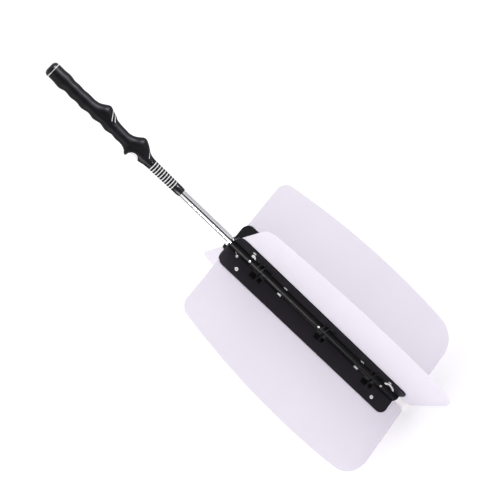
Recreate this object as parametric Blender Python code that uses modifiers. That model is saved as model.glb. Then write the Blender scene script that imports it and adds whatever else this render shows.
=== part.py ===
"""Golf swing training fan: a moulded grip and a steel shaft carrying four clear blades.

Two black brackets interleave on the shaft like a door hinge. The fixed one carries blades a and c,
the swinging one blades b and d, and it turns about the shaft so that the X of blades folds flat.
The lower ends of the blades stand on the floor at z = 0 and the shaft runs along +Z.
Lengths below are in millimetres and are turned into metres by MM.
"""
import math

import bmesh
import bpy
import numpy as np
from mathutils import Matrix, Vector

MM = 0.001
GAP = 0.3                                  # clearance kept between neighbouring pieces

# Shaft
SHAFT_R = 6.35
SHAFT_BORE_R = 5.45
SHAFT_TOP = 768.0

# Brackets: heights along the shaft, and distances d measured down from their top end
BRACKET_BOTTOM = 25.0
BRACKET_TOP = 405.0
HUB_R = 8.8
BORE_R = SHAFT_R + GAP
LEAF_REACH = 39.5
LEAF_CORNER = 13.0
PLATE = (0.2, 2.4)                         # offsets of each layer from the leaf's radial plane
SHEET = (2.7, 3.9)
STRIP = (4.2, 5.8)
FIXED_KNUCKLES = ((0.0, 46.8), (69.2, 114.8), (213.2, 292.8), (326.2, 380.0))
SWING_KNUCKLES = ((47.2, 68.8), (115.2, 212.8), (293.2, 325.8))
FIXED_RIBS = ((70.0, 80.5), (214.0, 224.5), (327.0, 337.5))    # pairs of ribs, outside to outside
SWING_RIBS = ((57.0, 67.0), (203.5, 212.4), (314.0, 324.5))
RIB_THICKNESS = 1.4
RIB_TANGENT = 24.0                         # where a rib's hollow meets the leaf
RIB_POCKET_R = 20.5                        # how far the opening between two ribs reaches
RIB_ROOM = 0.7
NOTCH_R = HUB_R + 0.6
STRIP_R = 11.2                             # inner edge of the backing strips

# Spring clips: split bands round the hub, open towards the a-b side
CLIP_STATIONS = (115.0, 293.0)
CLIP_R = (10.2, 11.4)
CLIP_EAR_R = 13.0                          # the end beside leaf a is bent outwards to here
CLIP_EAR_TURN = 6.0
CLIP_HALF = 3.4                            # half of the band's width along the shaft
CLIP_OPENING = (196.0, 268.0)
CLIP_ROOM = 0.6

# Fasteners
RIVET_R = 28.6
RIVET_STATIONS = (35.0, 346.0)
RIVET_SHANK_R = 2.0
RIVET_BORE_R = 1.2
RIVET_HEAD_R = 3.2
HEAD_DEPTH = 0.8
HUB_SCREW_LEAVES = "ac"
HUB_SCREW = (12.6, 22.5)                   # reach and station of the screw beside the hub's top
HUB_SCREW_HEAD_R = 2.4
HUB_SCREW_SHANK_R = 1.2
RADIAL_R = 2.0                             # headless screws that point at the shaft
RADIAL_TURN = 225.0
RADIAL_SCREWS = {"set_screw_1": 42.1, "set_screw_2": 345.4, "brake_screw": 199.0}
PIN_R = 2.3
PIN_HALF = 10.8
PIN_Z = 408.2

# Blades
BLADE_TOP = 402.0
BLADE_ROOT = 23.0                          # inner edge beside the hub
TAB_R = 7.4                                # inner edge of the tab below the hub
TAB_TOP = 22.0
BLADE_FOOT = 153.9
BLADE_HEAD = 134.1
BLADE_BULGE = 14.9
FOOT_ROUND = 43.5
HEAD_ROUND = 21.0

# Grip
CAP_Z = (784.9, 791.8)
BAND_Z = (783.5, 784.6)
GRIP_Z = (581.0, 783.2)
GRIP_BORE_TOP = 769.0
SLEEVE_Z = (528.0, 580.6)
COLLAR_Z = (515.0, 527.6)
THUMB_ANGLE = math.radians(-22.5)          # the thumb faces this way, the fingers the other
RING_PITCH = 4.9
RING_COUNT = 10
RING_TOP = 576.6

# height and radius of the grip on its finger, thumb and side faces
FINGER_LINE = ((783, 12.0), (772, 12.4), (762, 13.5), (750, 11.0), (738, 12.1), (728, 11.0),
               (716, 12.5), (703, 10.3), (692, 11.9), (680, 9.6), (667, 11.6), (655, 9.6),
               (646, 10.7), (638, 10.2), (631, 11.4), (626, 13.8), (621.5, 17.9), (617, 17.4),
               (611, 13.0), (603, 11.2), (596, 11.0), (589, 9.4), (581, 8.8))
THUMB_LINE = ((783, 12.6), (770, 12.4), (761, 13.0), (750, 11.4), (740, 11.7), (731, 11.1),
              (722, 11.8), (707, 11.8), (700, 13.4), (694, 16.8), (688, 20.6), (684, 21.3),
              (681, 20.4), (676, 18.4), (670, 16.4), (664, 13.2), (658, 12.1), (645, 11.2),
              (635, 11.1), (629, 12.8), (622, 17.0), (616, 21.6), (612.5, 22.6), (609, 21.6),
              (603, 18.6), (597, 14.6), (592, 11.4), (586, 9.4), (581, 8.8))
SIDE_LINE = ((783, 12.4), (760, 12.6), (735, 11.8), (700, 11.6), (660, 11.0), (625, 11.2),
             (605, 11.0), (592, 9.6), (581, 8.8))
SCOOP_R = 10.0                             # index finger's hollow behind the spur
SCOOP_Z = 608.2
SCOOP_OUT = 18.6
SCOOP_TILT = math.radians(12)
PAD = 0.8
GRIP_MESH = (60, 32)                       # levels up the grip, points around it

LEAVES = {"a": 180.0, "b": 270.0, "c": 0.0, "d": 90.0}    # the way each leaf points
STACK_SIGN = {"a": 1, "b": -1, "c": 1, "d": -1}            # the side that its layers lie on

COLOURS = {
    "black": ((0.016, 0.015, 0.018, 1), 0.38, 0.0),
    "steel": ((0.80, 0.80, 0.82, 1), 0.16, 1.0),
    "sheet": ((0.80, 0.78, 0.86, 1), 0.35, 0.0),
    "white": ((0.82, 0.82, 0.82, 1), 0.45, 0.0),
    "pale": ((0.66, 0.63, 0.67, 1), 0.50, 0.0),
}


def clear_scene():
    for item in list(bpy.data.objects):
        bpy.data.objects.remove(item, do_unlink=True)


def new_collection(name):
    group = bpy.data.collections.new(name)
    bpy.context.scene.collection.children.link(group)
    return group


def material_for(node, finish):
    colour, roughness, metallic = COLOURS[finish]
    made = bpy.data.materials.new(node + "_" + finish)
    made.use_nodes = True
    shader = made.node_tree.nodes["Principled BSDF"]
    shader.inputs["Base Color"].default_value = colour
    shader.inputs["Roughness"].default_value = roughness
    shader.inputs["Metallic"].default_value = metallic
    return made


def finish_node(item, finish):
    """Give a piece its own material and put it with the parts."""
    item.data.materials.clear()
    item.data.materials.append(material_for(item.name, finish))
    for owner in list(item.users_collection):
        owner.objects.unlink(item)
    PARTS.objects.link(item)
    return item


def link_mesh(name, mesh):
    item = bpy.data.objects.new(name, mesh)
    CUTTERS.objects.link(item)
    item.hide_render = True
    item.display_type = "WIRE"
    return item


def as_part(item, name, finish):
    item.name = name
    item.hide_render = False
    item.display_type = "TEXTURED"
    return finish_node(item, finish)


def cylinder(name, radius, low, high, segments=32, centre=(0.0, 0.0)):
    made = bmesh.new()
    bmesh.ops.create_cone(made, cap_ends=True, segments=segments, radius1=radius * MM,
                          radius2=radius * MM, depth=(high - low) * MM)
    shift = Vector((centre[0], centre[1], (low + high) / 2)) * MM
    bmesh.ops.translate(made, verts=made.verts, vec=shift)
    mesh = bpy.data.meshes.new(name)
    made.to_mesh(mesh)
    made.free()
    return link_mesh(name, mesh)


def turned(name, profile, finish, steps=32, centre=(0.0, 0.0, 0.0)):
    """A closed (radius, height) profile spun about Z."""
    loop = list(profile)
    area = sum(a[0] * b[1] - b[0] * a[1] for a, b in zip(loop, loop[1:] + loop[:1]))
    if area > 0:
        loop.reverse()
    mesh = bpy.data.meshes.new(name)
    made = bmesh.new()
    ring = [made.verts.new((r * MM, 0, z * MM)) for r, z in loop]
    for first, second in zip(ring, ring[1:]):
        made.edges.new((first, second))
    if loop[0][0] > 0:
        made.edges.new((ring[-1], ring[0]))
    made.to_mesh(mesh)
    made.free()
    item = link_mesh(name, mesh)
    item.location = Vector(centre) * MM
    spin = item.modifiers.new("Screw", "SCREW")
    spin.angle = 2 * math.pi
    spin.steps = steps
    spin.render_steps = steps
    spin.use_merge_vertices = True
    spin.merge_threshold = 1e-6
    return as_part(item, name, finish)


def extruded(name, outline, low, high, place):
    """A flat outline, drawn as a 2D curve, given thickness from low to high, as a mesh."""
    curve = bpy.data.curves.new(name, "CURVE")
    curve.dimensions = "2D"
    curve.fill_mode = "BOTH"
    curve.extrude = (high - low) / 2 * MM
    spline = curve.splines.new("POLY")
    spline.points.add(len(outline) - 1)
    for point, (u, v) in zip(spline.points, outline):
        point.co = (u * MM, v * MM, 0, 1)
    spline.use_cyclic_u = True
    item = bpy.data.objects.new(name, curve)
    CUTTERS.objects.link(item)
    bpy.context.view_layer.update()
    graph = bpy.context.evaluated_depsgraph_get()
    mesh = bpy.data.meshes.new_from_object(item.evaluated_get(graph))
    bpy.data.objects.remove(item, do_unlink=True)
    made = bmesh.new()
    made.from_mesh(mesh)
    bmesh.ops.remove_doubles(made, verts=made.verts, dist=1e-6)
    bmesh.ops.dissolve_limit(made, angle_limit=math.radians(0.5), verts=[], edges=made.edges)
    bmesh.ops.recalc_face_normals(made, faces=made.faces)
    made.to_mesh(mesh)
    made.free()
    solid = link_mesh(name, mesh)
    solid.matrix_world = place @ Matrix.Translation((0, 0, (low + high) / 2 * MM))
    return solid


def boolean(item, tool, operation):
    step = item.modifiers.new(tool.name, "BOOLEAN")
    step.operation = operation
    step.object = tool
    step.solver = "EXACT"
    return step


def arc(centre, radius, start, end, count):
    return [(centre[0] + radius * math.cos(t), centre[1] + radius * math.sin(t))
            for t in np.linspace(start, end, count)]


def standing(letter):
    """Local x runs out along the leaf, local y up, local z across it."""
    turn = Matrix.Rotation(math.radians(LEAVES[letter]), 4, "Z")
    return turn @ Matrix.Rotation(math.pi / 2, 4, "X")


def across(letter, limits):
    """A layer's offsets along local z, on the side where the leaf's layers lie."""
    ends = sorted(STACK_SIGN[letter] * value for value in limits)
    return ends[0], ends[1]


def height(d):
    return BRACKET_TOP - d


def inner_edge(own_knuckles, own_ribs, other_ribs):
    """The stepped inner edge of a leaf: it meets its own knuckles and clears everything else."""
    clips = [(d - CLIP_HALF - CLIP_ROOM, d + CLIP_HALF + CLIP_ROOM) for d in CLIP_STATIONS]
    pockets = [(low + RIB_THICKNESS, high - RIB_THICKNESS) for low, high in own_ribs]
    ribs = [(low - RIB_ROOM, high + RIB_ROOM) for low, high in other_ribs]
    stretches = ((clips, CLIP_EAR_R + CLIP_ROOM), (pockets, RIB_POCKET_R), (own_knuckles, HUB_R - 1.2),
                 (ribs, RIB_TANGENT - 1.5))
    marks = {0.0, BRACKET_TOP - BRACKET_BOTTOM}
    for spans, _ in stretches:
        for span in spans:
            marks.update(span)
    marks = sorted(marks)
    edge = []
    for low, high in zip(marks, marks[1:]):
        middle = (low + high) / 2
        reaches = [reach for spans, reach in stretches if any(a < middle < b for a, b in spans)]
        reach = reaches[0] if reaches else NOTCH_R
        if not edge or edge[-1][0] != reach:
            edge.append((reach, height(low)))
        edge.append((reach, height(high)))
    return edge


def leaf_outline(edge):
    """From the inner edge, read downwards, out to the two rounded outer corners."""
    flat = LEAF_REACH - LEAF_CORNER
    lower = arc((flat, BRACKET_BOTTOM + LEAF_CORNER), LEAF_CORNER, -math.pi / 2, 0, 9)
    upper = arc((flat, BRACKET_TOP - LEAF_CORNER), LEAF_CORNER, 0, math.pi / 2, 9)
    return edge + lower + upper


def rib_outline(letter):
    """A gusset between the leaf's face and the hub, hollowed by an arc tangent to both."""
    sink = PLATE[0] + 0.1
    radius = (RIB_TANGENT ** 2 + sink ** 2 - HUB_R ** 2) / (2 * (HUB_R + sink))
    centre = (RIB_TANGENT, radius - sink)
    end = math.pi + math.atan2(centre[1], centre[0])
    hollow = arc(centre, radius, 1.5 * math.pi, end, 15)
    points = hollow + [(5.0, 5.0), (5.0, -1.5), (RIB_TANGENT, -1.5)]
    return [(x, STACK_SIGN[letter] * y) for x, y in points]


def rod_across(name, letter, reach, z, radius, limits, segments=16):
    """A cylinder lying across a leaf."""
    low, high = across(letter, limits)
    item = cylinder(name, radius, low, high, segments)
    item.matrix_world = standing(letter) @ Matrix.Translation(Vector((reach, z, 0)) * MM)
    return item


def radial_place(d):
    """Local z points out from the shaft towards the side where the headless screws are."""
    turn = Matrix.Rotation(math.radians(RADIAL_TURN), 4, "Z")
    return Matrix.Translation((0, 0, height(d) * MM)) @ turn @ Matrix.Rotation(math.pi / 2, 4, "Y")


def cut_head(item, name, letter, reach, z, head, shank):
    """A countersunk hole: a flat-bottomed recess for the head and a hole for the shank."""
    recess = rod_across(name + "_recess", letter, reach, z, head + GAP, (-1.0, PLATE[0] + HEAD_DEPTH))
    hole = rod_across(name + "_hole", letter, reach, z, shank + GAP, (-1.0, PLATE[1] + 1))
    boolean(item, recess, "DIFFERENCE")
    boolean(item, hole, "DIFFERENCE")


def make_bracket(name, letters, own_knuckles, own_ribs, other_ribs, radial_screws):
    """One moulding: its knuckles on the shaft, two opposite leaves and the ribs between them."""
    body = cylinder(name, HUB_R, height(own_knuckles[0][1]), height(own_knuckles[0][0]))
    for number, (low, high) in enumerate(own_knuckles[1:], 2):
        boolean(body, cylinder(f"{name}_knuckle_{number}", HUB_R, height(high), height(low)), "UNION")
    turn = {letter: Matrix.Rotation(math.radians(LEAVES[letter]), 4, "Z") for letter in letters}
    for letter in letters:
        outline = leaf_outline(inner_edge(own_knuckles, own_ribs, other_ribs))
        plate = extruded(f"{name}_leaf_{letter}", outline, *across(letter, PLATE), standing(letter))
        boolean(body, plate, "UNION")
        edges = [edge for low, high in own_ribs for edge in (low, high - RIB_THICKNESS)]
        for number, low in enumerate(edges, 1):
            rib = extruded(f"{name}_rib_{letter}{number}", rib_outline(letter),
                           height(low + RIB_THICKNESS), height(low), turn[letter])
            boolean(body, rib, "UNION")
    bore = cylinder(name + "_bore", BORE_R, BRACKET_BOTTOM - 5, BRACKET_TOP + 5)
    boolean(body, bore, "DIFFERENCE")
    for letter in letters:
        for number, d in enumerate(RIVET_STATIONS, 1):
            cut_head(body, f"{name}_rivet_{letter}{number}", letter, RIVET_R, height(d),
                     RIVET_HEAD_R, RIVET_SHANK_R)
        if letter in HUB_SCREW_LEAVES:
            reach, d = HUB_SCREW
            cut_head(body, f"{name}_screw_{letter}", letter, reach, height(d),
                     HUB_SCREW_HEAD_R, HUB_SCREW_SHANK_R)
    for screw in radial_screws:
        hole = cylinder(screw + "_hole", RADIAL_R + GAP, 0, HUB_R + 3, 20)
        hole.matrix_world = radial_place(RADIAL_SCREWS[screw])
        boolean(body, hole, "DIFFERENCE")
    return as_part(body, name, "black")


def blade_outline():
    """Straight head and foot, a bulged outer edge, and two rounded outer corners."""
    foot = Vector((BLADE_FOOT, 0.0))
    head = Vector((BLADE_HEAD, BLADE_TOP))
    chord = head - foot
    radius = ((chord.length / 2) ** 2 + BLADE_BULGE ** 2) / (2 * BLADE_BULGE)
    outward = Vector((chord.y, -chord.x)).normalized()
    centre = (foot + head) / 2 + outward * (BLADE_BULGE - radius)

    def corner(level, rounding):
        rise = level - centre.y
        return Vector((centre.x + math.sqrt((radius - rounding) ** 2 - rise ** 2), level))

    low = corner(FOOT_ROUND, FOOT_ROUND)
    high = corner(BLADE_TOP - HEAD_ROUND, HEAD_ROUND)
    low_turn = math.atan2(low.y - centre.y, low.x - centre.x)
    high_turn = math.atan2(high.y - centre.y, high.x - centre.x)
    points = [(TAB_R, TAB_TOP), (TAB_R, 0.0)]
    points += arc(low, FOOT_ROUND, -math.pi / 2, low_turn, 14)
    points += arc(centre, radius, low_turn, high_turn, 22)[1:-1]
    points += arc(high, HEAD_ROUND, high_turn, math.pi / 2, 10)
    points += [(BLADE_ROOT, BLADE_TOP), (BLADE_ROOT, TAB_TOP)]
    return points


def make_blade(letter):
    name = "blade_" + letter
    sheet = extruded(name, blade_outline(), *across(letter, SHEET), standing(letter))
    for number, d in enumerate(RIVET_STATIONS, 1):
        hole = rod_across(f"{name}_hole_{number}", letter, RIVET_R, height(d), RIVET_SHANK_R + GAP, (0, 6))
        boolean(sheet, hole, "DIFFERENCE")
    return as_part(sheet, name, "sheet")


def make_strip(letter):
    """The strip on the far side of the blade that the rivets pull against."""
    name = "backing_strip_" + letter
    edge = [(STRIP_R, BRACKET_TOP), (STRIP_R, BRACKET_BOTTOM)]
    strip = extruded(name, leaf_outline(edge), *across(letter, STRIP), standing(letter))
    for number, d in enumerate(RIVET_STATIONS, 1):
        hole = rod_across(f"{name}_hole_{number}", letter, RIVET_R, height(d), RIVET_SHANK_R + GAP, (0, 9))
        recess = rod_across(f"{name}_recess_{number}", letter, RIVET_R, height(d), RIVET_HEAD_R + GAP,
                            (STRIP[1] - HEAD_DEPTH, 9))
        boolean(strip, hole, "DIFFERENCE")
        boolean(strip, recess, "DIFFERENCE")
    return as_part(strip, name, "black")


def place_across(item, letter, reach, z):
    """Stand a fastener turned about Z across a leaf, its head on the face side."""
    flip = Matrix.Rotation(0 if STACK_SIGN[letter] > 0 else math.pi, 4, "X")
    item.matrix_world = standing(letter) @ Matrix.Translation(Vector((reach, z, 0)) * MM) @ flip


def make_rivet(letter, number):
    """A semi-tubular rivet: its blind bore opens on the face side."""
    head = PLATE[0] + 0.05
    tail = STRIP[1] - 0.05
    rim = HEAD_DEPTH - 0.35
    bore_end = STRIP[0]
    profile = [(0.0, bore_end), (RIVET_BORE_R, bore_end), (RIVET_BORE_R, head + 0.3),
               (RIVET_BORE_R + 0.3, head), (RIVET_HEAD_R, head), (RIVET_HEAD_R, head + rim),
               (RIVET_SHANK_R, head + rim), (RIVET_SHANK_R, tail - rim),
               (RIVET_HEAD_R - 0.4, tail - rim), (RIVET_HEAD_R - 0.4, tail), (0.0, tail)]
    item = turned(f"rivet_{letter}{number}", profile, "steel", steps=16)
    place_across(item, letter, RIVET_R, height(RIVET_STATIONS[number - 1]))
    return item


def make_hub_screw(letter):
    """A short screw with a round socket in its flat head."""
    head = PLATE[0] + 0.05
    rim = HEAD_DEPTH - 0.35
    tip = PLATE[1] - 0.1
    profile = [(0.0, head + 1.4), (0.8, head + 1.4), (0.8, head + 0.2), (1.0, head),
               (HUB_SCREW_HEAD_R, head), (HUB_SCREW_HEAD_R, head + rim),
               (HUB_SCREW_SHANK_R, head + rim), (HUB_SCREW_SHANK_R, tip), (0.0, tip)]
    item = turned(f"hub_screw_{letter}1", profile, "steel", steps=16)
    reach, d = HUB_SCREW
    place_across(item, letter, reach, height(d))
    return item


def make_radial_screw(name):
    """A headless screw through the hub's wall, its socket facing outwards."""
    tip = SHAFT_R + GAP
    top = HUB_R + 0.2
    profile = [(0.0, top - 1.3), (0.9, top - 1.3), (0.9, top), (RADIAL_R - 0.3, top),
               (RADIAL_R, top - 0.3), (RADIAL_R, tip + 0.3), (RADIAL_R - 0.3, tip), (0.0, tip)]
    item = turned(name, profile, "steel", steps=16)
    item.matrix_world = radial_place(RADIAL_SCREWS[name])
    return item


def make_clip(number, station):
    """A split band of spring steel round two knuckles, its ends showing beside the hub."""
    first = math.radians(CLIP_OPENING[1])
    last = math.radians(CLIP_OPENING[0] + 360)
    ear = last - math.radians(CLIP_EAR_TURN)
    outline = (arc((0, 0), CLIP_R[1], first, ear, 34) + arc((0, 0), CLIP_EAR_R, ear, last, 3)
               + arc((0, 0), CLIP_R[0], last, first, 34))
    middle = height(station)
    clip = extruded(f"spring_clip_{number}", outline, middle - CLIP_HALF, middle + CLIP_HALF,
                    Matrix.Identity(4))
    return as_part(clip, f"spring_clip_{number}", "steel")


def make_shaft():
    tube = cylinder("shaft_tube", SHAFT_R, BRACKET_BOTTOM, SHAFT_TOP, 48)
    boolean(tube, cylinder("shaft_bore", SHAFT_BORE_R, 0, SHAFT_TOP + 9, 40), "DIFFERENCE")
    hole = cylinder("shaft_pin_hole", PIN_R + GAP, -20, 20, 24)
    hole.matrix_world = Matrix.Translation((0, 0, PIN_Z * MM)) @ Matrix.Rotation(math.pi / 2, 4, "Y")
    boolean(tube, hole, "DIFFERENCE")
    as_part(tube, "shaft_tube", "steel")
    plug_r = SHAFT_BORE_R - GAP
    turned("shaft_end_plug", [(0, 22.4), (SHAFT_R - 0.6, 22.4), (SHAFT_R, 23.0), (SHAFT_R, 24.6),
                              (plug_r, 24.6), (plug_r, 37.0), (plug_r - 1, 38.0), (0, 38.0)], "black")
    pin = turned("cross_pin", [(1.3, -PIN_HALF), (PIN_R - 0.3, -PIN_HALF), (PIN_R, -PIN_HALF + 0.4),
                               (PIN_R, PIN_HALF - 0.4), (PIN_R - 0.3, PIN_HALF), (1.3, PIN_HALF)],
                 "steel", steps=24)
    pin.matrix_world = Matrix.Translation((0, 0, PIN_Z * MM)) @ Matrix.Rotation(math.pi / 2, 4, "Y")


def smooth_line(line, z):
    """Read a (height, radius) line at z with a cubic that passes smoothly through its points."""
    places = np.array([p[0] for p in line], float)[::-1]
    values = np.array([p[1] for p in line], float)[::-1]
    slopes = np.gradient(values, places)
    k = int(np.clip(np.searchsorted(places, z) - 1, 0, len(places) - 2))
    span = places[k + 1] - places[k]
    t = (z - places[k]) / span
    return ((2 * t ** 3 - 3 * t ** 2 + 1) * values[k] + (t ** 3 - 2 * t ** 2 + t) * span * slopes[k]
            + (3 * t ** 2 - 2 * t ** 3) * values[k + 1] + (t ** 3 - t ** 2) * span * slopes[k + 1])


def grip_radius(z, turn):
    """Radius of the grip at a height, turn being measured from the thumb's direction."""
    side = smooth_line(SIDE_LINE, z)
    thumb = smooth_line(THUMB_LINE, z)
    finger = smooth_line(FINGER_LINE, z)
    facing = math.cos(turn)
    if facing > 0:
        return side + (thumb - side) * facing ** 2
    return side + (finger - side) * facing ** 2


def grip_loft(name, low, high, levels, around):
    made = bmesh.new()
    rings = []
    for z in np.linspace(low, high, levels):
        ring = []
        for step in range(around):
            turn = 2 * math.pi * step / around
            radius = grip_radius(z, turn)
            angle = THUMB_ANGLE + turn
            ring.append(made.verts.new((radius * math.cos(angle) * MM, radius * math.sin(angle) * MM,
                                        z * MM)))
        rings.append(ring)
    for lower, upper in zip(rings, rings[1:]):
        for step in range(around):
            after = (step + 1) % around
            made.faces.new((lower[step], lower[after], upper[after], upper[step]))
    made.faces.new(list(reversed(rings[0])))
    made.faces.new(rings[-1])
    bmesh.ops.recalc_face_normals(made, faces=made.faces)
    mesh = bpy.data.meshes.new(name)
    made.to_mesh(mesh)
    made.free()
    return link_mesh(name, mesh)


def scoop(name, radius):
    """The cylinder that the index finger's hollow is cut with, tilted across the grip."""
    item = cylinder(name, radius, -40, 40, 72)
    out = Vector((math.cos(THUMB_ANGLE + math.pi), math.sin(THUMB_ANGLE + math.pi), 0))
    far = Vector((-out.y, out.x, 0)) * -1
    axis = far * math.cos(SCOOP_TILT) + out * math.sin(SCOOP_TILT)
    place = out * (SCOOP_OUT * MM) + Vector((0, 0, SCOOP_Z * MM))
    item.matrix_world = Matrix.Translation(place) @ axis.to_track_quat("Z", "X").to_matrix().to_4x4()
    return item


def make_grip():
    grip = grip_loft("grip_body", *GRIP_Z, *GRIP_MESH)
    boolean(grip, scoop("scoop_for_pad", SCOOP_R + PAD + GAP), "DIFFERENCE")
    boolean(grip, cylinder("grip_bore", BORE_R, GRIP_Z[0] - 9, GRIP_BORE_TOP), "DIFFERENCE")
    neck = cylinder("grip_plug_bore", SHAFT_BORE_R + 0.1, GRIP_Z[0], GRIP_Z[1] + 9)
    boolean(grip, neck, "DIFFERENCE")
    as_part(grip, "grip_body", "black")

    pad = grip_loft("finger_rest_pad", *GRIP_Z, *GRIP_MESH)
    boolean(pad, scoop("pad_outside", SCOOP_R + PAD), "INTERSECT")
    boolean(pad, scoop("pad_inside", SCOOP_R), "DIFFERENCE")
    as_part(pad, "finger_rest_pad", "pale")

    stem = SHAFT_BORE_R - GAP
    low, high = CAP_Z
    turned("grip_cap", [(0, 758.0), (stem - 1, 758.0), (stem, 759.5), (stem, low), (12.0, low),
                        (12.4, low + 0.5), (12.3, low + 2.2), (11.4, low + 4.2), (9.6, low + 5.9),
                        (7.5, high), (0, high)], "black")
    turned("cap_band", [(stem + GAP, BAND_Z[0]), (12.2, BAND_Z[0]), (12.5, BAND_Z[0] + 0.3),
                        (12.5, BAND_Z[1] - 0.3), (12.2, BAND_Z[1]), (stem + GAP, BAND_Z[1])], "white")


def sleeve_radius(z):
    low, high = SLEEVE_Z
    return 7.9 + 0.8 * (z - low) / (high - low)


def make_neck():
    """The sleeve below the grip, with a groove for each ring, and the plain collar that ends it."""
    low, high = SLEEVE_Z
    outside = [(sleeve_radius(low) - 0.4, low), (sleeve_radius(low), low + 0.4)]
    for number in reversed(range(RING_COUNT)):
        z = RING_TOP - number * RING_PITCH
        radius = sleeve_radius(z)
        outside += [(radius + 0.05, z - 1.3), (radius - 0.7, z - 1.0),
                    (radius - 0.7, z + 1.0), (radius + 0.05, z + 1.3)]
    outside += [(sleeve_radius(high), high - 0.4), (sleeve_radius(high) - 0.4, high)]
    turned("neck_sleeve", [(BORE_R, high), (BORE_R, low)] + outside, "black", steps=22)
    bottom, top = COLLAR_Z
    turned("neck_collar", [(BORE_R, top), (BORE_R, bottom), (7.2, bottom), (7.6, bottom + 0.5),
                           (7.9, bottom + 6), (7.9, top - 0.5), (7.6, top)], "black")


def turn_with_shaft(names):
    """Hang the swinging pieces from an empty on the shaft's axis, which is their hinge line."""
    hinge = bpy.data.objects.new("blade_hinge", None)
    hinge.location = (0, 0, BRACKET_BOTTOM * MM)
    PARTS.objects.link(hinge)
    bpy.context.view_layer.update()
    for name in names:
        item = bpy.data.objects[name]
        item.parent = hinge
        item.matrix_parent_inverse = hinge.matrix_world.inverted()


def main():
    make_shaft()
    make_grip()
    make_neck()
    make_bracket("fixed_bracket", "ac", FIXED_KNUCKLES, FIXED_RIBS, SWING_RIBS,
                 ("set_screw_1", "set_screw_2"))
    make_bracket("swing_bracket", "bd", SWING_KNUCKLES, SWING_RIBS, FIXED_RIBS, ("brake_screw",))
    swinging = ["swing_bracket", "brake_screw"]
    for name in RADIAL_SCREWS:
        make_radial_screw(name)
    for letter in LEAVES:
        made = [make_blade(letter), make_strip(letter)]
        made += [make_rivet(letter, number) for number in (1, 2)]
        if letter in HUB_SCREW_LEAVES:
            made.append(make_hub_screw(letter))
        else:
            swinging += [item.name for item in made]
    for number, station in enumerate(CLIP_STATIONS, 1):
        make_clip(number, station)
    turn_with_shaft(swinging)


clear_scene()
PARTS = new_collection("golf_swing_fan")
CUTTERS = new_collection("cutters")
main()
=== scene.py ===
"""Looks of the golf swing training fan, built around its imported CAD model.

Lengths are in metres unless a name or the comment above it says millimetres. Heights along the shaft
and radii come from the CAD nodes' boxes where they can; the moulded grip repeats the outline of its
CAD solid with a finer mesh.
"""

import math

import bmesh
import bpy
import numpy as np
from mathutils import Matrix, Vector


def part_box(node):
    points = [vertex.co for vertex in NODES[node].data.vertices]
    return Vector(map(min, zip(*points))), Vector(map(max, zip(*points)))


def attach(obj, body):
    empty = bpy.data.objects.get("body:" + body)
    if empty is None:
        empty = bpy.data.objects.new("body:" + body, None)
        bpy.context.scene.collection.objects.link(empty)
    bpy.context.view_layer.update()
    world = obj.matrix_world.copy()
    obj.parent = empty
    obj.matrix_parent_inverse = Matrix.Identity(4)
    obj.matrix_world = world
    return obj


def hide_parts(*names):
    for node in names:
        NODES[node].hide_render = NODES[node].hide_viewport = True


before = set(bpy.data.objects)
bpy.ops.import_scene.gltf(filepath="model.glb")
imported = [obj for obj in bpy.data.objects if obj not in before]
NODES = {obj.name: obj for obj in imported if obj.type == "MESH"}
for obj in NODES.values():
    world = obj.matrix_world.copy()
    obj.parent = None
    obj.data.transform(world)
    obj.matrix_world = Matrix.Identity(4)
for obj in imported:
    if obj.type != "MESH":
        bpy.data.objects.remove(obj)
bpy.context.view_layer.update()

FIXED = "body"
SWING = "swinging_blades"
MM = 0.001

# Camera: where it stands round the object, and its roll about its own line of sight
CAMERA_TURN = -20.4
CAMERA_LIFT = 12.9
CAMERA_ROLL = -46.25
CAMERA_DISTANCE = 1.924
CAMERA_TARGET = Vector((0.017, 0.019, 0.368))
LENS = 86.6

# The way each leaf points, and the side of it that the blade's layers lie on
LEAF_WAY = {
    "a": Vector((-1, 0, 0)),
    "b": Vector((0, -1, 0)),
    "c": Vector((1, 0, 0)),
    "d": Vector((0, 1, 0)),
}
LAYER_SIDE = {
    "a": Vector((0, 1, 0)),
    "b": Vector((1, 0, 0)),
    "c": Vector((0, -1, 0)),
    "d": Vector((-1, 0, 0)),
}
FIXED_LEAVES = "ac"
PLATE_FACE = 0.2 * MM                      # a leaf's face, measured from the plane through the axis

# Grip, in millimetres, as in the CAD model: height and radius on its finger, thumb and side faces
GRIP_BOTTOM_MM, GRIP_TOP_MM = 581.0, 783.2
FINGER_LINE = ((783, 12.0), (772, 12.4), (762, 13.5), (750, 11.0), (738, 12.1), (728, 11.0),
               (716, 12.5), (703, 10.3), (692, 11.9), (680, 9.6), (667, 11.6), (655, 9.6),
               (646, 10.7), (638, 10.2), (631, 11.4), (626, 13.8), (621.5, 17.9), (617, 17.4),
               (611, 13.0), (603, 11.2), (596, 11.0), (589, 9.4), (581, 8.8))
THUMB_LINE = ((783, 12.6), (770, 12.4), (761, 13.0), (750, 11.4), (740, 11.7), (731, 11.1),
              (722, 11.8), (707, 11.8), (700, 13.4), (694, 16.8), (688, 20.6), (684, 21.3),
              (681, 20.4), (676, 18.4), (670, 16.4), (664, 13.2), (658, 12.1), (645, 11.2),
              (635, 11.1), (629, 12.8), (622, 17.0), (616, 21.6), (612.5, 22.6), (609, 21.6),
              (603, 18.6), (597, 14.6), (592, 11.4), (586, 9.4), (581, 8.8))
SIDE_LINE = ((783, 12.4), (760, 12.6), (735, 11.8), (700, 11.6), (660, 11.0), (625, 11.2),
             (605, 11.0), (592, 9.6), (581, 8.8))
THUMB_ANGLE = math.radians(-22.5)
SCOOP_R_MM = 10.0
SCOOP_Z_MM = 608.2
SCOOP_OUT_MM = 18.6
SCOOP_TILT = math.radians(12)
PAD_MM = 0.8
PAD_GAP_MM = 0.3
SCOOP_HALF = 40 * MM
SHAFT_TOP_MM = 768.0
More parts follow.
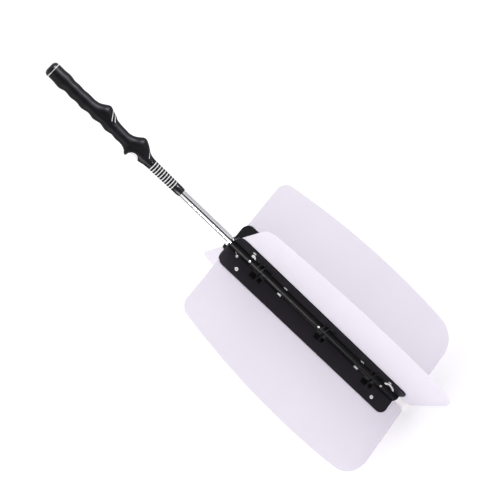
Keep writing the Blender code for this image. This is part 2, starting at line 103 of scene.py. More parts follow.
SHAFT_BORE_MM = 6.65                       # radius of the bore that the shaft goes into
BORE_PAST_END = 1 * MM
TUBE_WALL = 0.9 * MM
ROUND_FACING = 0.995                       # how closely a tube's round faces look along the radius
GRIP_FINE = (300, 128)                     # levels up the grip, points around it

# Printed stripes on the grip, in millimetres and degrees: height on the thumb's ridge, height at the
# ends, turn at the ends, width on the ridge, width at the ends
STRIPES_MM = {
    "grip_stripe_1": (680.4, 669.4, 61, 1.1, 1.1),
    "grip_stripe_2": (675.6, 664.4, 48, 0.9, 1.8),
    "grip_stripe_3": (597.0, 589.0, 66, 0.9, 0.9),
}

STRIPE_SLANT = 1.3                         # how much wider a stripe is along the shaft than across itself
STRIPE_ROWS = 25                           # rows of points from the ridge to one end
STRIPE_LIFTS_MM = (-0.15, 0.1)             # its under and upper side, from the grip's surface

KNUCKLE_EDGE = 10.6 * MM                   # past this reach from the axis a bracket is leaf
KNUCKLE_BLEND = 1.2 * MM

# Marks on the leaf: where they start along it, and how much they rise with each millimetre of reach
MARK_START_MM = 9.4
MARK_LEAN = 0.4
MARK_PROUD = 0.1 * MM                      # how far a mark or wire end stands out of the leaf's face
MARK_SUNK = 0.05 * MM                      # how far it reaches into the leaf

# The two marks, in millimetres: how far down the leaf, then the outer and the inner half ring's reach and
# half height
FOLD_MARKS_MM = {
    "fold_mark_upper": (43.2, (13.6, 4.6), (2.4, 0.8)),
    "fold_mark_lower": (356.8, (15.4, 10.8), (8.4, 6.8)),
}

# A wire end's corners beside the hub, in millimetres: reach from the axis, and drop from the bracket's top
WIRE_END_MM = ((11.0, 19.9), (9.3, 15.6), (8.7, 15.9), (10.1, 20.4))

# The ribbed sleeve tapers between two radii, and a white ring lies in each of its grooves
SLEEVE_RADII_MM = (7.9, 8.7)
RING_COUNT = 10
RING_PITCH = 4.9 * MM
RING_HALF = 0.75 * MM
RING_TOP_DROP = 4.0 * MM                   # from the sleeve's top to the middle of the first ring
RING_SPAN_MM = (-0.66, 0.02)               # a ring's inner and outer face, from the sleeve's radius
# One groove's outline, in millimetres: depth below the sleeve's radius, and height from its middle
GROOVE_MM = ((-0.02, -1.45), (0.1, -1.25), (0.62, -1.1), (0.7, -1.0),
             (0.7, 1.0), (0.62, 1.1), (0.1, 1.25), (-0.02, 1.45))

SHEET_COLOUR = (0.734, 0.696, 0.772)

# Studio: strengths of the lights, and the floor's size
VIOLET_WHITE = (1.0, 0.96, 1.08)
WORLD_STRENGTH = 1.03
FLOOR_GLOW = 0.18
FLOOR_SIZE = 60.0

# Cards seen only in reflections: name, turn from the camera, distance, width, height, grey
CARDS = (
    ("line_card", -2.0, 1.5, 1.40, 1.6, 0.07),
    ("right_card", 79.0, 1.5, 3.20, 0.42, 0.60),
    ("left_card", -132.0, 1.5, 2.8, 0.42, 0.36),
    ("back_line_card", 165.0, 0.75, 0.46, 0.5, 0.07),
    ("back_side_card", -145.0, 0.75, 0.54, 0.5, 0.36),
)
CARD_LIFT = 0.01                           # a card's lower edge above the floor


# ---------------------------------------------------------------- small helpers

ON_AXIS = 1e-7                             # a smaller radius counts as none
ROUND_POINTS = 4                           # points in each rounded corner
ROUND_SHARE = 0.45                         # the most of a side that one corner may take
ROUND_BELOW = math.radians(160)            # flatter corners stay as they are
WELD_WITHIN = 0.01 * MM                    # closer points of a CAD node's mesh become one
BEVEL_ABOVE = math.radians(40)             # sharper edges of a CAD node are rounded


def link(name, mesh):
    item = bpy.data.objects.new(name, mesh)
    bpy.context.scene.collection.objects.link(item)
    return item


def mesh_from(name, made):
    mesh = bpy.data.meshes.new(name)
    made.to_mesh(mesh)
    made.free()
    return mesh


def smooth(mesh, angle):
    """Shade smoothly, apart from edges sharper than angle degrees."""
    mesh.shade_smooth()
    mesh.set_sharp_from_angle(angle=math.radians(angle))


def apply_all(item):
    """Replace an object's mesh by its evaluated one and drop its modifiers."""
    bpy.context.view_layer.update()
    graph = bpy.context.evaluated_depsgraph_get()
    mesh = bpy.data.meshes.new_from_object(item.evaluated_get(graph))
    item.modifiers.clear()
    item.data = mesh


def as_piece(item, material, slot, body, *stands_for):
    """Give a finished mesh its material, its body and the CAD nodes it stands for. The slot argument is
    not used.
    """
    item.data.materials.clear()
    item.data.materials.append(material)
    if stands_for:
        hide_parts(*stands_for)
    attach(item, body)


def stand_along(item, place, axis):
    """Point a piece made about Z along an axis, its origin at a place."""
    item.matrix_world = Matrix.Translation(place) @ axis.to_track_quat("Z", "X").to_matrix().to_4x4()


def bake_place(item):
    """Write a piece's place into its mesh so that its object sits at the origin."""
    item.data.transform(item.matrix_world)
    item.matrix_world = Matrix.Identity(4)


def lathe(name, profile, steps=96):
    """A closed (radius, height) outline turned about Z, in metres."""
    loop = list(profile)
    area = sum(a[0] * b[1] - b[0] * a[1] for a, b in zip(loop, loop[1:] + loop[:1]))
    if area < 0:
        loop.reverse()
    made = bmesh.new()
    rings = []
    for radius, z in loop:
        if radius < ON_AXIS:
            rings.append([made.verts.new((0, 0, z))] * steps)
        else:
            rings.append([made.verts.new((radius * math.cos(t), radius * math.sin(t), z))
                          for t in np.linspace(0, 2 * math.pi, steps, endpoint=False)])
    for first, second in zip(rings, rings[1:] + rings[:1]):
        for step in range(steps):
            after = (step + 1) % steps
            corners = []
            for vert in (first[step], first[after], second[after], second[step]):
                if vert not in corners:
                    corners.append(vert)
            if len(corners) > 2:
                made.faces.new(corners)
    bmesh.ops.recalc_face_normals(made, faces=made.faces)
    mesh = mesh_from(name, made)
    return link(name, mesh)


def rounded(corners, radius):
    """Round the sharp corners of a closed (radius, height) outline, apart from those on the axis."""
    out = []
    total = len(corners)
    for k, corner in enumerate(corners):
        here = Vector(corner)
        back = Vector(corners[k - 1]) - here
        ahead = Vector(corners[(k + 1) % total]) - here
        reach = min(radius, back.length * ROUND_SHARE, ahead.length * ROUND_SHARE)
        if corner[0] < ON_AXIS or reach < 1e-6 or back.angle(ahead) > ROUND_BELOW:
            out.append(corner)
            continue
        first = here + back.normalized() * reach
        last = here + ahead.normalized() * reach
        for t in np.linspace(0, 1, ROUND_POINTS):
            point = first * (1 - t) ** 2 + here * 2 * t * (1 - t) + last * t ** 2
            out.append((max(point.x, 0.0), point.y))
    return out


# ---------------------------------------------------------------- materials

class Shade:
    """A Principled material and the few nodes that every finish here uses."""

    def __init__(self, name, colour, roughness, metallic=0.0, specular=0.5):
        self.material = bpy.data.materials.new(name)
        self.material.use_nodes = True
        self.nodes = self.material.node_tree.nodes
        self.links = self.material.node_tree.links
        self.shader = self.nodes["Principled BSDF"]
        self.shader.inputs["Base Color"].default_value = (*colour, 1)
        self.shader.inputs["Roughness"].default_value = roughness
        self.shader.inputs["Metallic"].default_value = metallic
        self.shader.inputs["Specular IOR Level"].default_value = specular
        self.place = self.nodes.new("ShaderNodeTexCoord").outputs["Object"]

    def noise(self, scale, detail=3.0, stretch=(1, 1, 1), roughness=0.55):
        """A noise value from 0 to 1; a stretch below 1 draws it out along that axis."""
        mapping = self.nodes.new("ShaderNodeMapping")
        mapping.inputs["Scale"].default_value = stretch
        self.links.new(self.place, mapping.inputs["Vector"])
        texture = self.nodes.new("ShaderNodeTexNoise")
        texture.inputs["Scale"].default_value = scale
        texture.inputs["Detail"].default_value = detail
        texture.inputs["Roughness"].default_value = roughness
        self.links.new(mapping.outputs["Vector"], texture.inputs["Vector"])
        return texture.outputs["Fac"]

    def spread(self, value, low, high, start=0.3, end=0.7):
        """Map a noise value onto a range of numbers."""
        node = self.nodes.new("ShaderNodeMapRange")
        for name, number in (("From Min", start), ("From Max", end), ("To Min", low), ("To Max", high)):
            node.inputs[name].default_value = number
        self.links.new(value, node.inputs["Value"])
        return node.outputs["Result"]

    def tint(self, value, first, second, start=0.3, end=0.7):
        """Map a noise value onto the colours between two."""
        ramp = self.nodes.new("ShaderNodeValToRGB")
        ramp.color_ramp.elements[0].position = start
        ramp.color_ramp.elements[0].color = (*first, 1)
        ramp.color_ramp.elements[1].position = end
        ramp.color_ramp.elements[1].color = (*second, 1)
        self.links.new(value, ramp.inputs["Fac"])
        return ramp.outputs["Color"]

    def colour_from(self, socket):
        self.links.new(socket, self.shader.inputs["Base Color"])

    def roughness_from(self, socket):
        self.links.new(socket, self.shader.inputs["Roughness"])

    def bump(self, value, height, strength):
        node = self.nodes.new("ShaderNodeBump")
        node.inputs["Strength"].default_value = strength
        node.inputs["Distance"].default_value = height
        self.links.new(value, node.inputs["Height"])
        self.links.new(node.outputs["Normal"], self.shader.inputs["Normal"])


def moulded_rubber(name, base, roughness, specular):
    """Black rubber: a fine mould grain, a cloudy tone and faint handling marks in its gloss."""
    shade = Shade(name, (base, base * 0.9, base * 1.25), roughness, specular=specular)
    cloud = shade.noise(45, 4)
    dark = (base * 0.75, base * 0.66, base * 0.92)
    light = (base * 1.35, base * 1.2, base * 1.7)
    shade.colour_from(shade.tint(cloud, dark, light))
    scuffs = shade.noise(260, 5, (1, 1, 0.35), 0.65)
    shade.roughness_from(shade.spread(scuffs, roughness - 0.06, roughness + 0.08))
    shade.bump(shade.noise(3200, 2), 0.03 * MM, 0.35)
    return shade.material


def moulded_plastic(name, base, roughness, specular, grain=2400):
    """Black moulding: spark-eroded grain, with slow flow variation in its tone."""
    shade = Shade(name, (base, base * 0.95, base * 1.06), roughness, specular=specular)
    flow = shade.noise(22, 3, (1, 1, 0.4))
    dark = (base * 0.8, base * 0.76, base * 0.84)
    light = (base * 1.25, base * 1.18, base * 1.34)
    shade.colour_from(shade.tint(flow, dark, light))
    shade.roughness_from(shade.spread(shade.noise(180, 4), roughness - 0.05, roughness + 0.07))
    shade.bump(shade.noise(grain, 2), 0.04 * MM, 0.4)
    return shade.material


def bracket_moulding(base, roughness, specular):
    """The hinge's black moulding: dark knuckles, and leaves of a paler, clouded black."""
    shade = Shade("bracket_plastic", (base, base * 0.95, base * 1.06), roughness, specular=specular)
    flat = shade.nodes.new("ShaderNodeVectorMath")
    flat.operation = "MULTIPLY"
    flat.inputs[1].default_value = (1, 1, 0)
    shade.links.new(shade.place, flat.inputs[0])
    reach = shade.nodes.new("ShaderNodeVectorMath")
    reach.operation = "LENGTH"
    shade.links.new(flat.outputs["Vector"], reach.inputs[0])
    leaf = shade.spread(reach.outputs["Value"], 0.0, 1.0, KNUCKLE_EDGE, KNUCKLE_EDGE + KNUCKLE_BLEND)
    clouds = shade.nodes.new("ShaderNodeMath")
    clouds.operation = "MULTIPLY"
    shade.links.new(leaf, clouds.inputs[0])
    shade.links.new(shade.spread(shade.noise(22, 3, (1, 1, 0.4)), 0.75, 1.0), clouds.inputs[1])
    dark_knuckle = (base * 0.25, base * 0.22, base * 0.28)
    pale_leaf = (base, base * 0.88, base * 1.12)
    shade.colour_from(shade.tint(clouds.outputs["Value"], dark_knuckle, pale_leaf, 0.0, 1.0))
    shade.roughness_from(shade.spread(shade.noise(180, 4), roughness - 0.05, roughness + 0.07))
    shade.bump(shade.noise(2400, 2), 0.04 * MM, 0.4)
    return shade.material


def milky_sheet():
    """Milky translucent sheet: slow thickness clouds, fine draw lines and an orange-peel gloss."""
    shade = Shade("blade_sheet", SHEET_COLOUR, 0.5, specular=0.05)
    low = tuple(c * 0.985 for c in SHEET_COLOUR)
    high = tuple(min(1.0, c * 1.012) for c in SHEET_COLOUR)
    shade.colour_from(shade.tint(shade.noise(9, 3), low, high))
    lines = shade.noise(120, 3, (1, 1, 0.03))
    shade.roughness_from(shade.spread(lines, 0.42, 0.54))
    shade.bump(shade.noise(420, 2), 0.02 * MM, 0.3)
    shade.shader.inputs["Subsurface Weight"].default_value = 0.35
    shade.shader.inputs["Subsurface Radius"].default_value = (1.0, 0.95, 1.1)
    shade.shader.inputs["Subsurface Scale"].default_value = 4 * MM
    return shade.material


def chrome():
    """Plated tube: polished, with faint draw lines along the shaft and a slight haze."""
    shade = Shade("chrome_tube", (0.78, 0.77, 0.80), 0.04, metallic=1.0)
    lines = shade.noise(900, 3, (1, 1, 0.01))
    shade.roughness_from(shade.spread(lines, 0.02, 0.05))
    shade.colour_from(shade.tint(shade.noise(35, 3), (0.76, 0.75, 0.78), (0.80, 0.79, 0.82)))
    shade.bump(shade.noise(60, 2, (1, 1, 0.2)), 0.02 * MM, 0.03)
    return shade.material


def plated_steel(name, tone, metallic):
    """Turned, plated steel: fine brushed variation in gloss and tone; the less metallic, the more matt."""
    shade = Shade(name, (tone, tone, tone * 1.02), 0.32, metallic=metallic)
    shade.roughness_from(shade.spread(shade.noise(1500, 3), 0.26, 0.38))
    dark = (tone * 0.96, tone * 0.96, tone * 0.99)
    light = (tone * 1.04, tone * 1.04, tone * 1.05)
    shade.colour_from(shade.tint(shade.noise(300, 3), dark, light))
    shade.bump(shade.noise(4000, 2), 0.01 * MM, 0.3)
    return shade.material


def white_paint(name, colour, roughness):
    """White print or moulded trim with a little grime and an uneven gloss."""
    shade = Shade(name, colour, roughness, specular=0.4)
    dirty = tuple(c * 0.92 for c in colour)
    shade.colour_from(shade.tint(shade.noise(400, 4), dirty, colour, 0.35, 0.55))
    shade.roughness_from(shade.spread(shade.noise(700, 3), roughness - 0.05, roughness + 0.08))
    shade.bump(shade.noise(3000, 2), 0.01 * MM, 0.3)
    return shade.material


# ---------------------------------------------------------------- grip

def smooth_line(line, z):
    """Read a (height, radius) line at z with a cubic that passes smoothly through its points."""
    places = np.array([p[0] for p in line], float)[::-1]
    values = np.array([p[1] for p in line], float)[::-1]
    slopes = np.gradient(values, places)
    k = int(np.clip(np.searchsorted(places, z) - 1, 0, len(places) - 2))
    span = places[k + 1] - places[k]
    t = (z - places[k]) / span
    return ((2 * t ** 3 - 3 * t ** 2 + 1) * values[k] + (t ** 3 - 2 * t ** 2 + t) * span * slopes[k]
            + (3 * t ** 2 - 2 * t ** 3) * values[k + 1] + (t ** 3 - t ** 2) * span * slopes[k + 1])


def grip_radius(z, turn):
    """Radius of the grip in millimetres, turn being measured from the thumb's direction."""
    side = smooth_line(SIDE_LINE, z)
    facing = math.cos(turn)
    faced = smooth_line(THUMB_LINE if facing > 0 else FINGER_LINE, z)
    return side + (faced - side) * facing ** 2


def grip_point(z, turn, lift=0.0):
    """A point on the grip's surface, or lift millimetres above it, in metres."""
    radius = grip_radius(z, turn) + lift
    angle = THUMB_ANGLE + turn
    return Vector((radius * math.cos(angle), radius * math.sin(angle), z)) * MM


def grip_loft(name):
    """The grip's whole outer shape as a closed solid, before anything is cut from it."""
    levels, around = GRIP_FINE
    made = bmesh.new()
    rings = []
    for z in np.linspace(GRIP_BOTTOM_MM, GRIP_TOP_MM, levels):
        rings.append([made.verts.new(grip_point(z, 2 * math.pi * step / around))
                      for step in range(around)])
    for lower, upper in zip(rings, rings[1:]):
        for step in range(around):
            after = (step + 1) % around
            made.faces.new((lower[step], lower[after], upper[after], upper[step]))
    made.faces.new(list(reversed(rings[0])))
    made.faces.new(rings[-1])
    bmesh.ops.recalc_face_normals(made, faces=made.faces)
    return link(name, mesh_from(name, made))


def cutter_rod(name, radius, half, place, axis, segments):
    """A round rod to cut with, reaching half its length each way from a place along an axis."""
    made = bmesh.new()
    bmesh.ops.create_cone(made, cap_ends=True, segments=segments, radius1=radius, radius2=radius,
                          depth=2 * half)
    rod = link(name, mesh_from(name, made))
    stand_along(rod, place, axis)
    return rod


def scoop(radius_mm):
    """The rod that the index finger's hollow is cut with, tilted across the grip."""
    out = Vector((math.cos(THUMB_ANGLE + math.pi), math.sin(THUMB_ANGLE + math.pi), 0))
    far = Vector((out.y, -out.x, 0))
    axis = far * math.cos(SCOOP_TILT) + out * math.sin(SCOOP_TILT)
    place = (out * SCOOP_OUT_MM + Vector((0, 0, SCOOP_Z_MM))) * MM
    return cutter_rod("scoop", radius_mm * MM, SCOOP_HALF, place, axis, 160)


def cut(item, tool, operation):
    """Run one Boolean now and remove its tool."""
    step = item.modifiers.new("cut", "BOOLEAN")
    step.operation = operation
    step.object = tool
    step.solver = "EXACT"
    apply_all(item)
    bpy.data.objects.remove(tool, do_unlink=True)


def bore_rod():
    """The rod that the grip is bored with for the shaft; it starts below the grip's lower end."""
    middle = Vector((0, 0, (GRIP_BOTTOM_MM + SHAFT_TOP_MM) / 2 * MM))
    half = (SHAFT_TOP_MM - GRIP_BOTTOM_MM) / 2 * MM + BORE_PAST_END
    return cutter_rod("bore", SHAFT_BORE_MM * MM, half, middle, Vector((0, 0, 1)), 96)


def make_grip(rubber, pad_rubber):
    grip = grip_loft("grip_moulding")
    cut(grip, scoop(SCOOP_R_MM + PAD_MM + PAD_GAP_MM), "DIFFERENCE")
    cut(grip, bore_rod(), "DIFFERENCE")
    smooth(grip.data, 40)
    as_piece(grip, rubber, "grip_rubber", FIXED, "grip_body")

    pad = grip_loft("finger_pad")
    cut(pad, scoop(SCOOP_R_MM + PAD_MM), "INTERSECT")
    cut(pad, scoop(SCOOP_R_MM), "DIFFERENCE")
    smooth(pad.data, 40)
    as_piece(pad, pad_rubber, "pale_pad", FIXED, "finger_rest_pad")


def make_stripe(name, start, end, last_turn, first_width, last_width, paint):
    """A printed chevron: it crosses the thumb's ridge and runs down towards the blades on both sides."""
    made = bmesh.new()
    rows = []
    for t in np.linspace(-1, 1, 2 * STRIPE_ROWS - 1):
        share = abs(t)
        z = start + (end - start) * share
        half = (first_width + (last_width - first_width) * share) / 2 * STRIPE_SLANT
        turn = math.radians(last_turn) * t
        rows.append([[made.verts.new(grip_point(z + side * half, turn, lift)) for side in (-1, 0, 1)]
                     for lift in STRIPE_LIFTS_MM])
    for (low, high), (next_low, next_high) in zip(rows, rows[1:]):
        for k in (0, 1):
            made.faces.new((high[k], high[k + 1], next_high[k + 1], next_high[k]))
            made.faces.new((low[k + 1], low[k], next_low[k], next_low[k + 1]))
        made.faces.new((low[0], high[0], next_high[0], next_low[0]))
        made.faces.new((high[2], low[2], next_low[2], next_high[2]))
    for low, high in (rows[0], rows[-1]):
        made.faces.new((low[0], low[1], high[1], high[0]))
        made.faces.new((low[1], low[2], high[2], high[1]))
    bmesh.ops.recalc_face_normals(made, faces=made.faces)
    stripe = link(name, mesh_from(name, made))
    smooth(stripe.data, 50)
    as_piece(stripe, paint, "white_trim", FIXED)


# ---------------------------------------------------------------- cap, sleeve and collar

def make_cap(plastic, trim):
    """The domed cap with a flat middle and a stem into the shaft, and the white band under it."""
    stem = 5.15 * MM
    gap = 0.3 * MM
    edge = 0.5 * MM
    flat_r = 7.5 * MM
    low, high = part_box("grip_cap")[0].z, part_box("grip_cap")[1].z
    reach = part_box("grip_cap")[1].x
    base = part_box("cap_band")[1].z + gap
    rise = high - base - edge
    dome = [(reach * math.cos(t) ** 0.5, base + edge + rise * math.sin(t))
            for t in np.linspace(0.0, math.pi / 2 - 0.28, 16)]
    dome = [p for p in dome if p[0] > flat_r + 0.2 * MM and p[1] < high - 0.05 * MM]
    foot = [(0.0, low), (stem, low), (stem, base), (reach - edge, base)]
    outline = foot + dome + [(flat_r, high), (0.0, high)]
    cap = lathe("cap_dome", outline)
    smooth(cap.data, 30)
    as_piece(cap, plastic, "black_plastic", FIXED, "grip_cap")

    low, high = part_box("cap_band")
    inner = stem + gap
    band = lathe("cap_ring", rounded([(inner, low.z), (high.x, low.z), (high.x, high.z), (inner, high.z)],
                                     0.3 * MM))
    smooth(band.data, 40)
    as_piece(band, trim, "white_trim", FIXED, "cap_band")


def make_sleeve(rubber, paint):
    """The ribbed sleeve, and a white ring in each of its grooves."""
    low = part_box("neck_sleeve")[0].z
    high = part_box("neck_sleeve")[1].z
    bore = SHAFT_BORE_MM * MM
    chamfer = 0.4 * MM

    def radius(z):
        lower, upper = SLEEVE_RADII_MM
        return (lower + (upper - lower) * (z - low) / (high - low)) * MM

    outline = [(bore, high), (bore, low), (radius(low) - chamfer, low), (radius(low), low + chamfer)]
    for number in reversed(range(RING_COUNT)):
        z = high - RING_TOP_DROP - number * RING_PITCH
        outline += [(radius(z) - depth * MM, z + rise * MM) for depth, rise in GROOVE_MM]
        inner, outer = (radius(z) + step * MM for step in RING_SPAN_MM)
        ring = lathe(f"sleeve_ring_{number + 1:02d}",
                     rounded([(inner, z - RING_HALF), (outer, z - RING_HALF),
                              (outer, z + RING_HALF), (inner, z + RING_HALF)], 0.35 * MM))
        smooth(ring.data, 40)
        as_piece(ring, paint, "white_trim", FIXED)
    outline += [(radius(high), high - chamfer), (radius(high) - chamfer, high)]
    sleeve = lathe("ribbed_sleeve", outline)
    smooth(sleeve.data, 40)
    as_piece(sleeve, rubber, "sleeve_rubber", FIXED, "neck_sleeve")


def make_collar(plastic):
    """The plain collar below the sleeve, tapered towards the blades."""
    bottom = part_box("neck_collar")[0].z
    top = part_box("neck_collar")[1].z
    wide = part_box("neck_collar")[1].x
    bore = SHAFT_BORE_MM * MM
    taper_in, taper_up = 0.7 * MM, 6 * MM
    edge_in, edge_down = 0.3 * MM, 0.4 * MM
    collar = lathe("collar", rounded([(bore, top), (bore, bottom), (wide - taper_in, bottom),
                                      (wide, bottom + taper_up), (wide, top - edge_down),
                                      (wide - edge_in, top)], 0.5 * MM))
    smooth(collar.data, 30)
    as_piece(collar, plastic, "black_plastic", FIXED, "neck_collar")


def radial_normals(mesh):
    """True normals for a tube about Z: radial on its round faces, each face's own on the rest."""
    normals = []
    for face in mesh.polygons:
        for corner in face.loop_indices:
            point = mesh.vertices[mesh.loops[corner].vertex_index].co
            radial = Vector((point.x, point.y, 0)).normalized()
            facing = face.normal.dot(radial)
            if abs(facing) > ROUND_FACING:
                normals.append(radial if facing > 0 else -radial)
            else:
                normals.append(face.normal.copy())
    mesh.normals_split_custom_set(normals)


def make_tube(metal):
    """The steel tube with chamfered ends, drilled for the cross pin.

    The drilled stretch has edges of its own, so that the faces above and below it stay whole.
    """
    low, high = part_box("shaft_tube")
    pin_low, pin_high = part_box("cross_pin")
    pin_z = (pin_low.z + pin_high.z) / 2
    pin_r = (pin_high.z - pin_low.z) / 2
    pin_room = 0.1 * MM
    drilled = 6 * MM
    outer = high.x
    inner = outer - TUBE_WALL
    chamfer = 0.3 * MM
    under, over = pin_z - drilled, pin_z + drilled
    tube = lathe("steel_tube", [(inner, high.z), (inner, over), (inner, under), (inner, low.z),
                                (outer - chamfer, low.z), (outer, low.z + chamfer), (outer, under),
                                (outer, over), (outer, high.z - chamfer), (outer - chamfer, high.z)], 128)
    hole = cutter_rod("hole", pin_r + pin_room, outer * 2, Vector((0, 0, pin_z)), Vector((1, 0, 0)), 48)
    cut(tube, hole, "DIFFERENCE")
    smooth(tube.data, 30)
    radial_normals(tube.data)
    as_piece(tube, metal, "chrome_tube", FIXED, "shaft_tube")


# ---------------------------------------------------------------- fasteners and marks

def centre_of(node):
    low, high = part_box(node)
    return (low + high) / 2


def make_rivet(letter, number, steel, bore_shade):
    """A semi-tubular rivet: a flat flange, a blind bore whose faces are near black as painted shade, and
    its clinched tail.
    """
    node = f"rivet_{letter}{number}"
    low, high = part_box(node)
    side = LAYER_SIDE[letter]
    length = abs((high - low).dot(side))
    head_r = abs((high - low).z) / 2
    shank = 2.0 * MM
    flange = 0.45 * MM
    bore = 1.2 * MM
    bore_end = 3.9 * MM
    tail = 1.5 * MM
    corners = [(0.0, bore_end), (bore * 0.7, bore_end), (bore, bore_end - 0.4 * MM), (bore, 0.25 * MM),
               (bore + 0.35 * MM, 0.0), (head_r - 0.5 * MM, 0.03 * MM), (head_r, 0.25 * MM),
               (head_r, flange - 0.03 * MM), (shank, flange), (shank, length - 0.45 * MM),
               (head_r - 0.4 * MM, length - 0.4 * MM), (head_r - 0.5 * MM, length - 0.1 * MM),
               (bore, length), (0.0, length)]
    rivet = lathe(node + "_fine", rounded(corners, 0.2 * MM), 40)
    stand_along(rivet, centre_of(node) - side * length / 2, side)
    bake_place(rivet)
    smooth(rivet.data, 30)
    as_piece(rivet, steel, "bright_steel", FIXED if letter in FIXED_LEAVES else SWING, node)
    # The bore's faces take the near-black second material: painted shade for the dark inside of the hole.
    rivet.data.materials.append(bore_shade)
    middle = centre_of(node)
    for face in rivet.data.polygons:
        offset = face.center - middle
        depth = offset.dot(side)
        if (offset - side * depth).length < bore - 0.05 * MM and depth < length / 2 - tail:
            face.material_index = 1


def make_hub_screw(letter, steel):
    """A short screw with a flat head and a round socket."""
    node = f"hub_screw_{letter}1"
    low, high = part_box(node)
    side = LAYER_SIDE[letter]
    length = abs((high - low).dot(side))
    head_r = abs((high - low).z) / 2
    shank = 1.2 * MM
    head = 0.45 * MM
    socket = 0.85 * MM
    corners = [(0.0, 1.5 * MM), (socket, 1.4 * MM), (socket, 0.2 * MM), (socket + 0.25 * MM, 0.0),
               (head_r - 0.3 * MM, 0.0), (head_r, 0.2 * MM), (head_r, head - 0.03 * MM), (shank, head),
               (shank, length - 0.2 * MM), (shank - 0.2 * MM, length), (0.0, length)]
    screw = lathe(node + "_fine", rounded(corners, 0.15 * MM), 40)
    stand_along(screw, centre_of(node) - side * length / 2, side)
    bake_place(screw)
    smooth(screw.data, 30)
    as_piece(screw, steel, "bright_steel", FIXED, node)


def make_radial_screw(node, body, steel):
    """A headless screw with a round socket, pointing at the shaft."""
    centre = centre_of(node)
    out = Vector((centre.x, centre.y, 0)).normalized()
    tip = SHAFT_BORE_MM * MM
    top = 9.0 * MM
    radius = 2.0 * MM
    socket = 1.0 * MM
    corners = [(0.0, tip), (radius - 0.5 * MM, tip), (radius, tip + 0.4 * MM), (radius, top - 0.3 * MM),
               (radius - 0.3 * MM, top), (socket, top), (socket - 0.05 * MM, top - 1.3 * MM),
               (0.0, top - 1.4 * MM)]
    screw = lathe(node + "_fine", rounded(corners, 0.12 * MM), 36)
    stand_along(screw, Vector((0, 0, centre.z)), out)
    bake_place(screw)
    smooth(screw.data, 30)
    as_piece(screw, steel, "bright_steel", body, node)


def flat_mark(name, outline, letter, material, slot, body):
    """A thin printed or pressed shape on a leaf's face: outline points are reach and height."""
    way = LEAF_WAY[letter]
    side = LAYER_SIDE[letter]
    made = bmesh.new()
    under, over = ([made.verts.new(way * (reach * MM) + Vector((0, 0, height * MM)) + side * level)
                    for reach, height in outline]
                   for level in (PLATE_FACE + MARK_SUNK, PLATE_FACE - MARK_PROUD))
    made.faces.new(under)
    made.faces.new(list(reversed(over)))
    for k in range(len(outline)):
        after = (k + 1) % len(outline)
        made.faces.new((under[k], under[after], over[after], over[k]))
    bmesh.ops.triangulate(made, faces=[f for f in made.faces if len(f.verts) > 4])
    bmesh.ops.recalc_face_normals(made, faces=made.faces)
    as_piece(link(name, mesh_from(name, made)), material, slot, body)


def fold_mark_outline(drop, outer, inner):
    """A plain half of an oval ring that opens towards the hub, leaning up the leaf.

    drop is how far down the leaf its middle is; outer and inner are the half ring's reach and half height.
    """
    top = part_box("fixed_bracket")[1].z / MM

    def place(reach, rise):
        return (MARK_START_MM + reach, top - drop + rise + MARK_LEAN * reach)

    def half_ring(size, angles):
        return [place(size[0] * math.cos(t), size[1] * math.sin(t)) for t in np.radians(angles)]

    return half_ring(outer, np.linspace(-88, 88, 25)) + half_ring(inner, np.linspace(84, -84, 21))


def make_marks(paint, steel):
    """The two white marks on leaf b, and the wire end on each fixed leaf."""
    for name, numbers in FOLD_MARKS_MM.items():
        flat_mark(name, fold_mark_outline(*numbers), "b", paint, "white_trim", SWING)
    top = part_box("fixed_bracket")[1].z / MM
    wire_end = [(reach, top - drop) for reach, drop in WIRE_END_MM]
    for letter in FIXED_LEAVES:
        flat_mark(f"wire_end_{letter}", wire_end, letter, steel, "bright_steel", FIXED)


# ---------------------------------------------------------------- CAD nodes that stay

def weld_and_round(node, width, flat):
    """Round a CAD node's edges. Its broad faces keep true normals: flat ones outright, others by area."""
    item = NODES[node]
    weld = item.modifiers.new("weld", "WELD")
    weld.merge_threshold = WELD_WITHIN
    edges = item.modifiers.new("rounded_edges", "BEVEL")
    edges.width = width
    edges.segments = 2
    edges.limit_method = "ANGLE"
    edges.angle_limit = BEVEL_ABOVE
    edges.harden_normals = False
    if flat:
        item.data.shade_flat()
        return
    item.data.shade_smooth()
    even = item.modifiers.new("true_normals", "WEIGHTED_NORMAL")
    even.mode = "FACE_AREA"
    even.weight = 100
    even.keep_sharp = False


def finish_nodes(names, material, width, flat=False):
    """Give CAD nodes their material and rounded edges."""
    for name in names:
        weld_and_round(name, width, flat)
        mesh = NODES[name].data
        mesh.materials.clear()
        mesh.materials.append(material)


# ---------------------------------------------------------------- studio

def plane(name, size, material):
    made = bmesh.new()
    bmesh.ops.create_grid(made, x_segments=1, y_segments=1, size=size / 2)
    item = link(name, mesh_from(name, made))
    item.data.materials.append(material)
    return item


def make_camera():
    turn = math.radians(CAMERA_TURN)
    lift = math.radians(CAMERA_LIFT)
    away = Vector((math.sin(turn) * math.cos(lift), -math.cos(turn) * math.cos(lift), math.sin(lift)))
    data = bpy.data.cameras.new("camera")
    data.lens = LENS
    data.sensor_width = 36.0
    data.clip_start = 0.01
    camera = bpy.data.objects.new("camera", data)
    bpy.context.scene.collection.objects.link(camera)
    look = (-away).to_track_quat("-Z", "Y").to_matrix().to_4x4()
    roll = Matrix.Rotation(math.radians(CAMERA_ROLL), 4, "Z")
    camera.matrix_world = Matrix.Translation(CAMERA_TARGET + away * CAMERA_DISTANCE) @ look @ roll
    bpy.context.scene.camera = camera


def add_floor():
    shade = Shade("floor", (0.97, 0.97, 0.975), 0.7, specular=0.1)
    shade.colour_from(shade.tint(shade.noise(3, 2), (0.965, 0.965, 0.97), (0.975, 0.975, 0.98)))
    shade.shader.inputs["Emission Color"].default_value = (1, 1, 1, 1)
    shade.shader.inputs["Emission Strength"].default_value = FLOOR_GLOW
    plane("floor", FLOOR_SIZE, shade.material)


